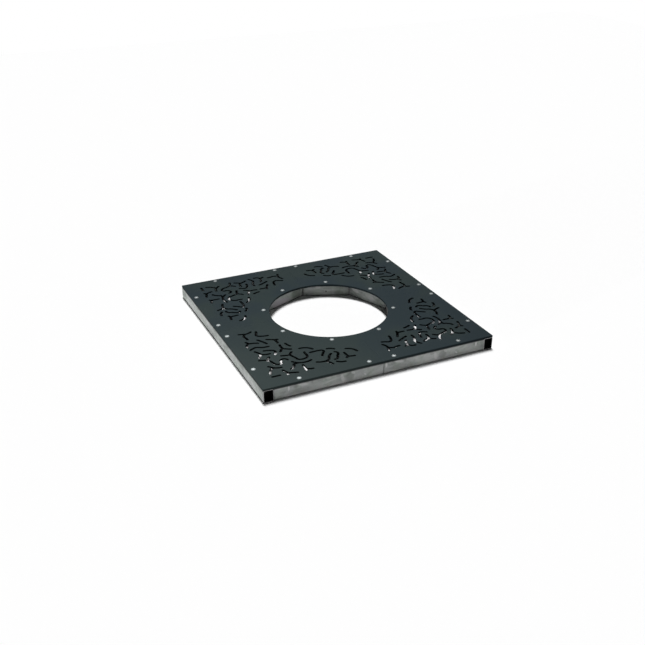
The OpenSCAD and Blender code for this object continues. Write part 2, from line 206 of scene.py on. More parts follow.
class Finish:
    """A procedural material in the making: one shader, with patterns on the object's own coordinates."""

    def __init__(self, name, metallic, specular, roughness):
        self.material = bpy.data.materials.new(name)
        self.material.use_nodes = True
        self.tree = self.material.node_tree
        self.nodes = self.tree.nodes
        self.links = self.tree.links
        self.shader = self.nodes["Principled BSDF"].inputs
        self.shader["Metallic"].default_value = metallic
        self.shader["Specular IOR Level"].default_value = specular
        self.shader["Roughness"].default_value = roughness
        self.place = self.nodes.new("ShaderNodeTexCoord").outputs["Object"]

    def paint(self, value):
        """Sets the colour of the surface."""
        feed(self.tree, self.shader["Base Color"], value)

    def roughen(self, value):
        """Sets the roughness of the surface."""
        feed(self.tree, self.shader["Roughness"], value)

    def math(self, operation, *values):
        """Works out a number from links and plain values."""
        return calculate(self.tree, operation, *values)

    def scaled(self, colour, factor):
        """Makes a colour brighter or darker."""
        node = self.nodes.new("ShaderNodeVectorMath")
        node.operation = "SCALE"
        self.links.new(colour, node.inputs[0])
        feed(self.tree, node.inputs["Scale"], factor)
        return node.outputs["Vector"]

    def axes(self):
        """The object's own X, Y and Z at each point."""
        node = self.nodes.new("ShaderNodeSeparateXYZ")
        self.links.new(self.place, node.inputs["Vector"])
        return node.outputs

    def mapped(self, turn, stretch, shift):
        """The object's coordinates, turned, stretched and shifted."""
        mapping = self.nodes.new("ShaderNodeMapping")
        self.links.new(self.place, mapping.inputs["Vector"])
        mapping.inputs["Rotation"].default_value = [math.radians(angle) for angle in turn]
        mapping.inputs["Scale"].default_value = [1 / share for share in stretch]
        mapping.inputs["Location"].default_value = shift
        return mapping.outputs["Vector"]

    def clouds(self, size, detail=2.0, distortion=0.0, turn=(0, 0, 0), stretch=(1, 1, 1), shift=(0, 0, 0)):
        """Soft patches of about the given size."""
        texture = self.nodes.new("ShaderNodeTexNoise")
        self.links.new(self.mapped(turn, stretch, shift), texture.inputs["Vector"])
        texture.inputs["Scale"].default_value = 1 / size
        texture.inputs["Detail"].default_value = detail
        texture.inputs["Distortion"].default_value = distortion
        return texture.outputs["Fac"]

    def crystals(self, size, turn=(0, 0, 0), stretch=(1, 1, 1)):
        """Sharp-edged grains of about the given size, each with its own level."""
        texture = self.nodes.new("ShaderNodeTexVoronoi")
        self.links.new(self.mapped(turn, stretch, (0, 0, 0)), texture.inputs["Vector"])
        texture.inputs["Scale"].default_value = 1 / size
        levels = self.nodes.new("ShaderNodeSeparateColor")
        self.links.new(texture.outputs["Color"], levels.inputs["Color"])
        return levels.outputs["Red"]

    def graded(self, value, low, high, start=0.0, end=1.0):
        """Carries a value from one range into another, held at both ends."""
        node = self.nodes.new("ShaderNodeMapRange")
        node.interpolation_type = "SMOOTHSTEP"
        for socket, number in zip(node.inputs, (value, low, high, start, end)):
            feed(self.tree, socket, number)
        return node.outputs["Result"]

    def slope(self, axis, middle, per_metre):
        """A value that changes evenly along one axis."""
        return self.math("MULTIPLY_ADD", self.axes()[axis], per_metre, middle)

    def mixed(self, share, first, second):
        """A colour that goes from the first to the second as the share grows."""
        return mix_colours(self.tree, share, first, second)

    def shelter(self, reach):
        """How open each point is to its surroundings within the given reach, from 0 to 1."""
        node = self.nodes.new("ShaderNodeAmbientOcclusion")
        node.samples = SHELTER_SAMPLES
        node.inputs["Distance"].default_value = reach
        return node.outputs["AO"]

    def relief(self, height, distance, strength=1.0):
        """Lets a pattern of heights shade the surface."""
        node = self.nodes.new("ShaderNodeBump")
        node.inputs["Strength"].default_value = strength
        node.inputs["Distance"].default_value = distance
        self.links.new(height, node.inputs["Height"])
        self.links.new(node.outputs["Normal"], self.shader["Normal"])


def forward_share(finish):
    """How far forward each point lies, from 0 near the back side to 1 near the front side."""
    return finish.slope("Y", 0.5, -1.14)


def front_light_factor(finish, middle, per_metre):
    """Painted light: a brightness factor that is 1 at the back and changes towards the front, as much as X
    says.
    """
    change = finish.slope("X", middle, per_metre)
    return finish.math("MULTIPLY_ADD", forward_share(finish), change, 1.0)


def joint_highlight_factor(finish):
    """A painted highlight: a brightness factor that is 1 but close to the plates' joints, which lie on the
    X and Y axes.
    """
    axes = finish.axes()
    across = finish.math("ABSOLUTE", axes["X"])
    deep = finish.math("ABSOLUTE", axes["Y"])
    from_joint = finish.math("MINIMUM", across, deep)
    return finish.graded(from_joint, JOINT_HIGHLIGHT_EDGE, JOINT_HIGHLIGHT_END, JOINT_HIGHLIGHT_FACTOR, 1.0)


GREENER_COAT = (0.0209, 0.0314, 0.0314, 1)
BLUER_COAT = (0.0198, 0.0297, 0.0344, 1)
# Painted light: the warmer tone the coat takes towards the front left corner
WARM_LIGHT_COAT = (0.023, 0.0311, 0.0308, 1)
COAT_SPECK = (0.038, 0.05, 0.053, 1)


def anthracite_coat():
    """Fine-textured anthracite powder coat, with painted light that makes it lighter and warmer towards
    the front left corner, and a painted highlight close to the plates' joints.
    """
    coat = Finish("anthracite_powder_coat", 0.0, 0.03, 0.62)
    drift = coat.clouds(0.2, detail=2.0)
    hue = coat.mixed(coat.graded(drift, 0.4, 0.6), GREENER_COAT, BLUER_COAT)
    # Painted light: towards the front left the coat is mixed towards a warmer tone and made lighter;
    # towards the front right it is a little darker
    front_left = coat.math("MULTIPLY", forward_share(coat), coat.slope("X", 0.5, -1.1))
    hue = coat.mixed(coat.graded(front_left, 0.0, 1.0), hue, WARM_LIGHT_COAT)
    hue = coat.scaled(hue, front_light_factor(coat, 0.25, -0.85))
    # Painted highlight: the coat is lighter close to the plates' joints
    hue = coat.scaled(hue, joint_highlight_factor(coat))
    peel = coat.clouds(0.0011, detail=2.0)
    speck = coat.graded(coat.clouds(0.0006), 0.66, 0.8)
    coat.paint(coat.mixed(speck, hue, COAT_SPECK))
    coat.roughen(coat.graded(drift, 0.3, 0.7, 0.58, 0.68))
    coat.relief(peel, 0.0002, 0.5)
    return coat.material


GREENER_ZINC = (0.48, 0.54, 0.49, 1)
PLAIN_ZINC = (0.51, 0.54, 0.53, 1)
SHADED_ZINC = (0.3, 0.33, 0.31, 1)
PALE_ZINC = (0.72, 0.75, 0.73, 1)
CRYSTAL_ZINC = grey(0.75)
RUN_ZINC = grey(0.25)
SAWN_ZINC = grey(0.85)
BRIGHT_ZINC = grey(0.9)
LILAC_ZINC = (0.68, 0.64, 0.69, 1)
DARK_ZINC = grey(0.14)
MOSSY_ZINC = (0.18, 0.23, 0.18, 1)
# Painted shade: the dark grey laid where the tubes are sheltered and just under the plates
PAINTED_SHADE_GREY = grey(0.04)

# Each mark: place along X, height, half width, half height, lean to the left, strength and colour
FRONT_MARK_PERIOD = 0.41
FRONT_MARKS = (
    (0.04, 0.040, 0.014, 0.010, 0.0, 0.25, DARK_ZINC),
    (0.065, 0.020, 0.05, 0.012, 0.0, 0.2, DARK_ZINC),
    (0.215, 0.041, 0.012, 0.008, 0.0, 0.25, DARK_ZINC),
    (0.264, 0.026, 0.022, 0.024, 0.0, 0.35, DARK_ZINC),
    # Painted highlight: a bright strip just right of the frame's seam, where the tube's rounded end
    # catches light
    (0.011, 0.037, 0.0055, 0.013, 0.0, 0.8, BRIGHT_ZINC),
    (0.068, 0.041, 0.024, 0.009, 1.6, 0.5, BRIGHT_ZINC),
    (0.175, 0.041, 0.014, 0.007, 0.5, 0.25, BRIGHT_ZINC),
    (0.233, 0.025, 0.009, 0.020, 0.2, 0.5, BRIGHT_ZINC),
    (0.277, 0.040, 0.010, 0.009, 0.5, 0.4, BRIGHT_ZINC),
    (0.329, 0.020, 0.005, 0.006, 0.8, 0.7, BRIGHT_ZINC),
)
RING_MARKS = (
    (-0.135, 0.018, 0.062, 0.026, 0.6, 0.75, LILAC_ZINC),
    (-0.036, 0.026, 0.037, 0.032, 0.0, 0.6, MOSSY_ZINC),
    (0.004, 0.025, 0.003, 0.06, 0.0, 0.5, DARK_ZINC),
    (0.066, 0.042, 0.015, 0.008, 0.0, 0.6, BRIGHT_ZINC),
    (0.1, 0.021, 0.0038, 0.0055, 0.0, 0.9, DARK_ZINC),
    (0.155, 0.010, 0.024, 0.02, 0.0, 0.4, MOSSY_ZINC),
    (0.212, 0.036, 0.009, 0.013, 0.2, 0.6, BRIGHT_ZINC),
    (0.245, 0.028, 0.012, 0.014, 0.3, 0.4, BRIGHT_ZINC),
)


def with_marks(zinc, tone, marks, along):
    """Light and dark patches laid along a tube from a list of marks; the front tubes' bright strip beside
    the frame's seam is a painted highlight.
    """
    height = zinc.axes()["Z"]
    for place, middle, half_width, half_height, lean, strength, colour in marks:
        up = zinc.math("SUBTRACT", height, middle)
        across = zinc.math("SUBTRACT", along, place)
        slid = zinc.math("MULTIPLY_ADD", up, lean, across)
        wide = zinc.math("POWER", zinc.math("DIVIDE", slid, half_width), 2)
        tall = zinc.math("POWER", zinc.math("DIVIDE", up, half_height), 2)
        share = zinc.graded(zinc.math("ADD", wide, tall), 1.0, 0.2, 0.0, strength)
        tone = zinc.mixed(share, tone, colour)
    return tone


def patchy_zinc(zinc, crystals):
    """The zinc's own tone: cloudy patches, large leaves, small crystals and upright runs."""
    patches = zinc.clouds(0.07, detail=4.0, distortion=1.2, turn=(20, 35, 40), stretch=(1.8, 1.8, 0.7))
    hues = zinc.clouds(0.05, detail=1.0, turn=(0, 20, 70), shift=(3.1, 0.4, 1.7))
    leaves = zinc.crystals(0.026, turn=(10, 35, 15), stretch=(1, 1, 0.55))
    runs = zinc.clouds(0.012, detail=2.0, stretch=(1, 1, 6))
    tone = zinc.mixed(zinc.graded(hues, 0.35, 0.65), GREENER_ZINC, PLAIN_ZINC)
    tone = zinc.mixed(zinc.graded(patches, 0.3, 0.5, 0.8, 0.0), tone, SHADED_ZINC)
    tone = zinc.mixed(zinc.graded(patches, 0.5, 0.68, 0.0, 0.8), tone, PALE_ZINC)
    tone = zinc.mixed(zinc.graded(leaves, 0.0, 1.0, 0.0, 0.35), tone, PALE_ZINC)
    tone = zinc.mixed(zinc.graded(crystals, 0.0, 1.0, 0.0, 0.14), tone, CRYSTAL_ZINC)
    return zinc.mixed(zinc.graded(runs, 0.55, 0.8, 0.0, 0.3), tone, RUN_ZINC)


def galvanised_zinc(name, marks=(), period=0.0, sawn_ends=False, painted_shade_share=0.0):
    """Hot-dip zinc, with painted shade where it is sheltered, just under the plates and, as much as the
    last argument says, all over; bright where it is sawn.
    """
    zinc = Finish(name, 0.05, 0.08, 0.55)
    crystals = zinc.crystals(0.007)
    along = zinc.axes()["X"]
    if period:
        along = zinc.math("WRAP", along, period, 0.0)
    tone = with_marks(zinc, patchy_zinc(zinc, crystals), marks, along)
    # Painted shade: the whole tube is darkened towards DARK_ZINC as much as the share says
    tone = zinc.mixed(painted_shade_share, tone, DARK_ZINC)
    # Painted shade: sheltered spots are darkened
    tone = zinc.mixed(zinc.graded(zinc.shelter(0.01), 0.35, 0.85, 0.9, 0.0), tone, PAINTED_SHADE_GREY)
    # Painted shade: the top of each tube, just under the plates, is darkened
    tone = zinc.mixed(zinc.graded(zinc.axes()["Z"], UNDER_PLATE_SHADE_START, UNDER_PLATE_SHADE_END, 0.0, 0.8), tone, PAINTED_SHADE_GREY)
    if sawn_ends:
        depth = zinc.math("ABSOLUTE", zinc.axes()["Y"])
        tone = zinc.mixed(zinc.graded(depth, SAWN_START, SAWN_END, 0.0, 0.9), tone, SAWN_ZINC)
    zinc.paint(tone)
    zinc.roughen(zinc.graded(crystals, 0.0, 1.0, 0.5, 0.65))
    zinc.relief(zinc.clouds(0.006, detail=3.0), 0.0006, 0.35)
    return zinc.material


def weld_zinc():
    """Zinc over a weld bead, a little rougher than on the tube."""
    zinc = Finish("galvanised_weld", 0.05, 0.08, 0.6)
    clouds = zinc.clouds(0.008, detail=3.0)
    zinc.paint(zinc.mixed(clouds, grey(0.25), grey(0.5)))
    zinc.roughen(zinc.graded(clouds, 0.3, 0.7, 0.45, 0.62))
    zinc.relief(zinc.clouds(0.0012, detail=2.0), 0.0003, 0.5)
    return zinc.material


DARKER_STEEL = (0.214, 0.238, 0.238, 1)
LIGHTER_STEEL = (0.282, 0.308, 0.308, 1)


def stainless_steel():
    """Bright stainless fasteners with fine turning marks and a little handling wear, painted shade in
    their sockets, and painted light that makes them lighter towards the front left and darker towards the
    front right.
    """
    steel = Finish("stainless_steel", 0.35, 0.5, 0.4)
    wear = steel.clouds(0.004, detail=4.0)
    marks = steel.clouds(0.0004, detail=2.0, stretch=(1, 1, 0.2))
    unshaded_share = steel.graded(steel.shelter(0.004), 0.35, 0.95)
    # Painted light: lighter towards the front left, darker towards the front right
    tone = steel.scaled(steel.mixed(wear, DARKER_STEEL, LIGHTER_STEEL), front_light_factor(steel, 0.53, -1.7))
    # Painted shade: sheltered spots such as the sockets are darkened to near black
    steel.paint(steel.mixed(unshaded_share, grey(0.05), tone))
    steel.roughen(steel.graded(wear, 0.3, 0.7, 0.34, 0.5))
    steel.relief(marks, 0.00005, 0.5)
    return steel.material


def black_plastic():
    """Moulded black polyethylene with a fine grain."""
    plastic = Finish("black_plastic", 0.0, 0.015, 0.55)
    grain = plastic.clouds(0.0009, detail=2.0)
    scuff = plastic.graded(plastic.clouds(0.01, detail=4.0), 0.6, 0.8)
    plastic.paint(plastic.mixed(scuff, grey(0.001), grey(0.003)))
    plastic.roughen(plastic.graded(grain, 0.3, 0.7, 0.5, 0.62))
    plastic.relief(grain, 0.0001, 0.5)
    return plastic.material


# Meshes


def new_piece(name, mesh, material):
    """A finished piece that rides on the grate, with the given material in its one slot."""
    mesh.name = name
    mesh.materials.clear()
    mesh.materials.append(material)
    piece = bpy.data.objects.new(name, mesh)
    bpy.context.scene.collection.objects.link(piece)
    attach(piece, "root")
    return piece


def smooth_mesh(shell, name):
    """Makes a plain mesh of a bmesh shell, smooth but for its sharp edges."""
    bmesh.ops.recalc_face_normals(shell, faces=shell.faces)
    mesh = bpy.data.meshes.new(name)
    shell.to_mesh(mesh)
    shell.free()
    smooth_but_sharp(mesh)
    return mesh


def smooth_but_sharp(mesh):
    """Smooth shading, but for sharp edges and level faces."""
    packed_normals = mesh.attributes.get("custom_normal")
    if packed_normals:
        mesh.attributes.remove(packed_normals)
    mesh.set_sharp_from_angle(angle=SMOOTH_ANGLE)
    curved = [abs(face.normal.z) < LEVEL_NORMAL for face in mesh.polygons]
    mesh.polygons.foreach_set("use_smooth", curved)


def merged_copy(node):
    """A CAD node's mesh as a bmesh shell with its loose triangles joined."""
    shell = bmesh.new()
    shell.from_mesh(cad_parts[node].data)
    bmesh.ops.remove_doubles(shell, verts=shell.verts, dist=MERGE_DISTANCE)
    return shell


def solids_of(node):
    """The lowest and highest corner of every separate solid of a CAD node."""
    shell = merged_copy(node)
    waiting = set(shell.verts)
    boxes = []
    while waiting:
        solid = [waiting.pop()]
        for vert in solid:
            for edge in vert.link_edges:
                neighbour = edge.other_vert(vert)
                if neighbour in waiting:
                    waiting.remove(neighbour)
                    solid.append(neighbour)
        places = [vert.co for vert in solid]
        lowest = Vector([min(place[axis] for place in places) for axis in range(3)])
        highest = Vector([max(place[axis] for place in places) for axis in range(3)])
        boxes.append((lowest, highest))
    shell.free()
    return sorted(boxes, key=lambda box: [round(number, 5) for number in box[0]])


def hexagon_share(angle):
    """How far a hexagon's outline lies at an angle, as a share of half its width across flats."""
    sixth = math.radians(60)
    return 1 / math.cos((angle + sixth / 2) % sixth - sixth / 2)


def lathe(shell, rings, closed=False, sides=36):
    """Joins rings, each a function from an angle to a radius and a height, into a closed skin."""
    angles = [2 * math.pi * step / sides for step in range(sides)]
    loops = []
    for ring in rings:
        spots = [ring(angle) for angle in angles]
        loops.append([
            shell.verts.new((radius * math.cos(angle), radius * math.sin(angle), height))
            for angle, (radius, height) in zip(angles, spots)
        ])
    pairs = list(zip(loops, loops[1:]))
    if closed:
        pairs.append((loops[-1], loops[0]))
    for lower, upper in pairs:
        for step in range(sides):
            after = (step + 1) % sides
            shell.faces.new((lower[step], lower[after], upper[after], upper[step]))
    if not closed:
        shell.faces.new(loops[0])
        shell.faces.new(loops[-1])


def circle_ring(radius, height):
    """A round ring for the lathe."""
    return lambda angle: (radius, height)


def hexagon_ring(half_width, height):
    """A hexagonal ring for the lathe, from half its width across flats."""
    return lambda angle: (half_width * hexagon_share(angle), height)


def chamfer_ring(half_width, top, fall):
    """The edge where a hexagon's corners meet the cone that bevels them, falling down (1) or up (-1)."""

    def ring(angle):
        radius = half_width * hexagon_share(angle)
        return radius, top - fall * CHAMFER_FALL * (radius - CHAMFER_SHARE * half_width)

    return ring


def thread(shell, diameter, pitch, start, end, steps=20):
    """A closed screw thread along Z from start to end, with its first turn tapered."""
    crest_radius = diameter / 2
    root_radius = crest_radius - THREAD_DEPTH_SHARE * pitch
    count = int(round((end - start) / pitch * steps))
    crests = []
    roots = []
    for step in range(count + 1):
        angle = 2 * math.pi * step / steps
        height = start + pitch * step / steps
        share = min(1.0, step / steps)
        radius = root_radius + share * (crest_radius - root_radius)
        crests.append(shell.verts.new((radius * math.cos(angle), radius * math.sin(angle), height)))
        root = (root_radius * math.cos(angle), root_radius * math.sin(angle), height + pitch / 2)
        roots.append(shell.verts.new(root))
    for step in range(count):
        shell.faces.new((crests[step], crests[step + 1], roots[step + 1], roots[step]))
        if step + steps < count:
            above = step + steps
            shell.faces.new((roots[step], roots[step + 1], crests[above + 1], crests[above]))
    first = crests[:steps + 1] + [roots[0]]
    last = roots[count - steps:] + [crests[count]]
    for loop in (first, last):
        centre = shell.verts.new((0, 0, sum(vert.co.z for vert in loop) / len(loop)))
        for vert, after in zip(loop, loop[1:] + loop[:1]):
            shell.faces.new((vert, after, centre))


def button_screw(head_diameter, length):
    """A domed screw with a hexagon socket, its head seated on z = 0."""
    shell = bmesh.new()
    head = head_diameter / 2
    dome_height = HEAD_HEIGHT - HEAD_RIM
    dome = (head * head + dome_height * dome_height) / (2 * dome_height)
    socket = SOCKET_WIDTH / 2
    mouth = SOCKET_MOUTH_SHARE * socket

    def dome_ring(share):
        radius = mouth + share * (head - mouth)
        return circle_ring(radius, HEAD_HEIGHT - dome + math.sqrt(dome * dome - radius * radius))

    mouth_height = dome_ring(0)(0)[1]
    rings = [
        circle_ring(0.9 * SCREW_DIAMETER / 2, 0),
        circle_ring(0.97 * head, 0),
        circle_ring(head, 0.25 * HEAD_RIM),
        circle_ring(head, 0.9 * HEAD_RIM),
    ]
    rings += [dome_ring(share) for share in DOME_SHARES]
    rings += [
        hexagon_ring(socket, mouth_height - SOCKET_BEVEL_SHARE * SOCKET_DEPTH),
        hexagon_ring(socket, HEAD_HEIGHT - SOCKET_DEPTH),
        circle_ring(0.1 * socket, HEAD_HEIGHT - SOCKET_TIP_SHARE * SOCKET_DEPTH),
    ]
    lathe(shell, rings)
    thread(shell, SCREW_DIAMETER, SCREW_PITCH, -length, -0.3 * SCREW_PITCH)
    return smooth_mesh(shell, "button_screw")


def hexagon_bolt(width, reach):
    """A bolt with a chamfered hexagon head, its head seated on z = 0 and its thread below."""
    shell = bmesh.new()
    half = width / 2
    rings = [
        circle_ring(BOLT_FACE_SHARE * half, 0),
        circle_ring(BOLT_FACE_SHARE * half, BOLT_FACE),
        hexagon_ring(half, BOLT_FACE),
        chamfer_ring(half, BOLT_HEAD_HEIGHT, 1),
        circle_ring(BOLT_TOP_SHARE * half, BOLT_HEAD_HEIGHT),
    ]
    lathe(shell, rings)
    shank = BOLT_DIAMETER / 2
    plain = BOLT_PLAIN_SHARE * reach
    lathe(shell, [circle_ring(shank, -plain), circle_ring(shank, BOLT_FACE / 2)])
    thread(shell, BOLT_DIAMETER, BOLT_PITCH, -reach, -plain + BOLT_PITCH)
    return smooth_mesh(shell, "hexagon_bolt")


def hexagon_nut(width, height):
    """A nut with both faces chamfered and a countersunk bore, from z = 0 up."""
    shell = bmesh.new()
    half = width / 2
    face = NUT_FACE_SHARE * half
    bore = BOLT_DIAMETER / 2
    mouth = NUT_MOUTH_SHARE * bore
    sink = NUT_SINK_SHARE * bore
    rings = [
        circle_ring(mouth, 0),
        circle_ring(face, 0),
        chamfer_ring(half, 0, -1),
        chamfer_ring(half, height, 1),
        circle_ring(face, height),
        circle_ring(mouth, height),
        circle_ring(bore, height - sink),
        circle_ring(bore, sink),
    ]
    lathe(shell, rings, closed=True)
    return smooth_mesh(shell, "hexagon_nut")


def flat_washer(inner, outer, thickness):
    """A stamped washer with softened edges, from z = 0 up."""
    shell = bmesh.new()
    soft = WASHER_EDGE_SHARE * thickness
    rings = [
        circle_ring(inner, soft),
        circle_ring(inner + soft, 0),
        circle_ring(outer - soft, 0),
        circle_ring(outer, soft),
        circle_ring(outer, thickness - soft),
        circle_ring(outer - soft, thickness),
        circle_ring(inner + soft, thickness),
        circle_ring(inner, thickness - soft),
    ]
    lathe(shell, rings, closed=True)
    return smooth_mesh(shell, "flat_washer")


# Repeated parts


def tree_with_inputs(name, inputs):
    """An empty geometry node tree with its named inputs, and its group input and output nodes."""
    tree = bpy.data.node_groups.new(name, "GeometryNodeTree")
    tree.interface.new_socket("Geometry", in_out="INPUT", socket_type="NodeSocketGeometry")
    for label, kind in inputs:
        tree.interface.new_socket(label, in_out="INPUT", socket_type="NodeSocket" + kind)
    tree.interface.new_socket("Geometry", in_out="OUTPUT", socket_type="NodeSocketGeometry")
    return tree, tree.nodes.new("NodeGroupInput").outputs, tree.nodes.new("NodeGroupOutput").inputs


def tree_node(tree, kind, values, **settings):
    """Adds a node, with settings for the node itself and a link or value for each named socket."""
    node = tree.nodes.new(kind)
    for setting, choice in settings.items():
        setattr(node, setting, choice)
    for label, value in values.items():
        socket = [found for found in node.inputs if found.name == label and found.enabled][0]
        feed(tree, socket, value)
    return [found for found in node.outputs if found.enabled]


def finished_tree(tree, geometry, finish, result):
    """Gives the grown geometry its material, and hands it out."""
    painted = tree_node(tree, "GeometryNodeSetMaterial", {"Geometry": geometry, "Material": finish})[0]
    tree.links.new(painted, result["Geometry"])
    return tree


def repeat_tree():
    """Sets copies of a part on the points of a mesh, each turned by chance about its own axis."""
    tree, given, result = tree_with_inputs("repeated_part", (
        ("Part", "Object"),
        ("Axis", "Vector"),
        ("Greatest Turn", "Float"),
        ("Seed", "Int"),
        ("Finish", "Material"),
    ))
    points = tree_node(tree, "GeometryNodeMeshToPoints", {"Mesh": given["Geometry"]})[0]
    part = tree_node(tree, "GeometryNodeObjectInfo", {"Object": given["Part"]})[-1]
    angle = tree_node(tree, "FunctionNodeRandomValue", {
        "Min": 0.0,
        "Max": given["Greatest Turn"],
        "Seed": given["Seed"],
    }, data_type="FLOAT")[0]
    turn = tree_node(tree, "FunctionNodeAxisAngleToRotation", {"Axis": given["Axis"], "Angle": angle})[0]
    copies = tree_node(tree, "GeometryNodeInstanceOnPoints", {
        "Points": points,
        "Instance": part,
        "Rotation": turn,
    })[0]
    real = tree_node(tree, "GeometryNodeRealizeInstances", {"Geometry": copies})[0]
    return finished_tree(tree, real, given["Finish"], result)


def bead_radius(tree, given, ripples):
    """How thick the bead is at each point along it: rippled, and rounded off at both ends."""
    along = tree_node(tree, "GeometryNodeSplineParameter", {})[0]
    phase = calculate(tree, "MULTIPLY", calculate(tree, "MULTIPLY", along, ripples), math.pi)
    wave = calculate(tree, "ABSOLUTE", calculate(tree, "SINE", phase))
    ripple = calculate(tree, "ADD", 1.0, calculate(tree, "MULTIPLY", wave, given["Ripple Share"]))
    twice = calculate(tree, "MULTIPLY", along, 2.0)
    from_middle = calculate(tree, "ABSOLUTE", calculate(tree, "SUBTRACT", twice, 1.0))
    taper = calculate(tree, "SUBTRACT", 1.0, calculate(tree, "POWER", from_middle, BEAD_BLUNTNESS))
    rounding = calculate(tree, "SQRT", calculate(tree, "MAXIMUM", taper, BEAD_TIP_SHARE))
    radius = calculate(tree, "MULTIPLY", given["Bead Width"], 0.5)
    return calculate(tree, "MULTIPLY", calculate(tree, "MULTIPLY", ripple, rounding), radius)


def made_uneven(tree, geometry, amount):
    """Pushes a skin in and out by soft lumps."""
    lumps = tree_node(tree, "ShaderNodeTexNoise", {"Scale": LUMPS_PER_METRE, "Detail": 1.0})[1]
    centred = tree_node(tree, "ShaderNodeVectorMath", {"Vector": lumps}, operation="SUBTRACT")[0]
    centred.node.inputs[1].default_value = (0.5, 0.5, 0.5)
    push = tree_node(tree, "ShaderNodeVectorMath", {
        "Vector": centred,
        "Scale": amount,
    }, operation="SCALE")[0]
    return tree_node(tree, "GeometryNodeSetPosition", {"Geometry": geometry, "Offset": push})[0]


def weld_tree():
    """Lays an upright rippled weld bead on every point of a mesh."""
    tree, given, result = tree_with_inputs("weld_bead", (
        ("Bead Length", "Float"),
        ("Bead Width", "Float"),
        ("Ripple Pitch", "Float"),
        ("Ripple Share", "Float"),
        ("Unevenness", "Float"),
        ("Finish", "Material"),
    ))
    top = tree_node(tree, "ShaderNodeCombineXYZ", {"Z": given["Bead Length"]})[0]
    line = tree_node(tree, "GeometryNodeCurvePrimitiveLine", {"End": top})[0]
    ripples = calculate(tree, "DIVIDE", given["Bead Length"], given["Ripple Pitch"])
    steps = calculate(tree, "MULTIPLY", ripples, RIPPLE_STEPS)
    path = tree_node(tree, "GeometryNodeResampleCurve", {"Curve": line, "Count": steps})[0]
    outline = tree_node(tree, "GeometryNodeCurvePrimitiveCircle", {
        "Resolution": BEAD_SIDES,
        "Radius": 1.0,
    })[0]
    bead = tree_node(tree, "GeometryNodeCurveToMesh", {
        "Curve": path,
        "Profile Curve": outline,
        "Scale": bead_radius(tree, given, ripples),
        "Fill Caps": True,
    })[0]
    points = tree_node(tree, "GeometryNodeMeshToPoints", {"Mesh": given["Geometry"]})[0]
    beads = tree_node(tree, "GeometryNodeInstanceOnPoints", {"Points": points, "Instance": bead})[0]
    real = tree_node(tree, "GeometryNodeRealizeInstances", {"Geometry": beads})[0]
    uneven = made_uneven(tree, real, given["Unevenness"])
    return finished_tree(tree, uneven, given["Finish"], result)


def grown_mesh(name, places, tree, inputs):
    """The plain mesh that a node tree grows on a set of places."""
    points = bpy.data.meshes.new(name + "_places")
    points.from_pydata([tuple(place) for place in places], [], [])
    carrier = bpy.data.objects.new(name + "_places", points)
    bpy.context.scene.collection.objects.link(carrier)
    modifier = carrier.modifiers.new("grow", "NODES")
    modifier.node_group = tree
    for socket in tree.interface.items_tree:
        if socket.in_out == "INPUT" and socket.name in inputs:
            modifier[socket.identifier] = inputs[socket.name]
    depsgraph = bpy.context.evaluated_depsgraph_get()
    mesh = bpy.data.meshes.new_from_object(carrier.evaluated_get(depsgraph), depsgraph=depsgraph)
    bpy.data.objects.remove(carrier)
    bpy.data.meshes.remove(points)
    smooth_but_sharp(mesh)
    return mesh


def repeated_part(name, part_mesh, places, tree, material, axis, greatest_turn, seed):
    """One mesh with a copy of the part at every place."""
    part = bpy.data.objects.new(name + "_part", part_mesh)
    bpy.context.scene.collection.objects.link(part)
    mesh = grown_mesh(name, places, tree, {
        "Part": part,
        "Axis": axis,
        "Greatest Turn": greatest_turn,
        "Seed": seed,
        "Finish": material,
    })
    bpy.data.objects.remove(part)
    return mesh


def laid_along_x(mesh):
    """Turns a part so that its own up points along X."""
    for vert in mesh.vertices:
        vert.co = (vert.co.z, vert.co.y, -vert.co.x)
    return mesh


def turned_round(mesh):
    """Turns a part by half a turn about Z, so that it points the other way along X."""
    for vert in mesh.vertices:
        vert.co = (-vert.co.x, -vert.co.y, vert.co.z)
    return mesh


def box_middle(box):
    """The middle of a box given by its lowest and highest corner."""
    return (box[0] + box[1]) / 2


def left_faces(boxes):
    """The middle of each box's left face."""
    return [Vector((box[0].x, box_middle(box).y, box_middle(box).z)) for box in boxes]


def add_plate_screws(tree, steel):
    """The 24 screws that hold the plates, each with its socket turned another way."""
    solids = solids_of("plate_screws")
    first = solids[0]
    length = PLATE_TOP - first[0].z
    places = [Vector((box_middle(box).x, box_middle(box).y, PLATE_TOP)) for box in solids]
    screw = button_screw(first[1].x - first[0].x, length)
    mesh = repeated_part("plate_screws", screw, places, tree, steel, (0, 0, 1), 2 * math.pi, SCREW_SEED)
    piece = new_piece("socket_screws", mesh, steel)
    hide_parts("plate_screws")


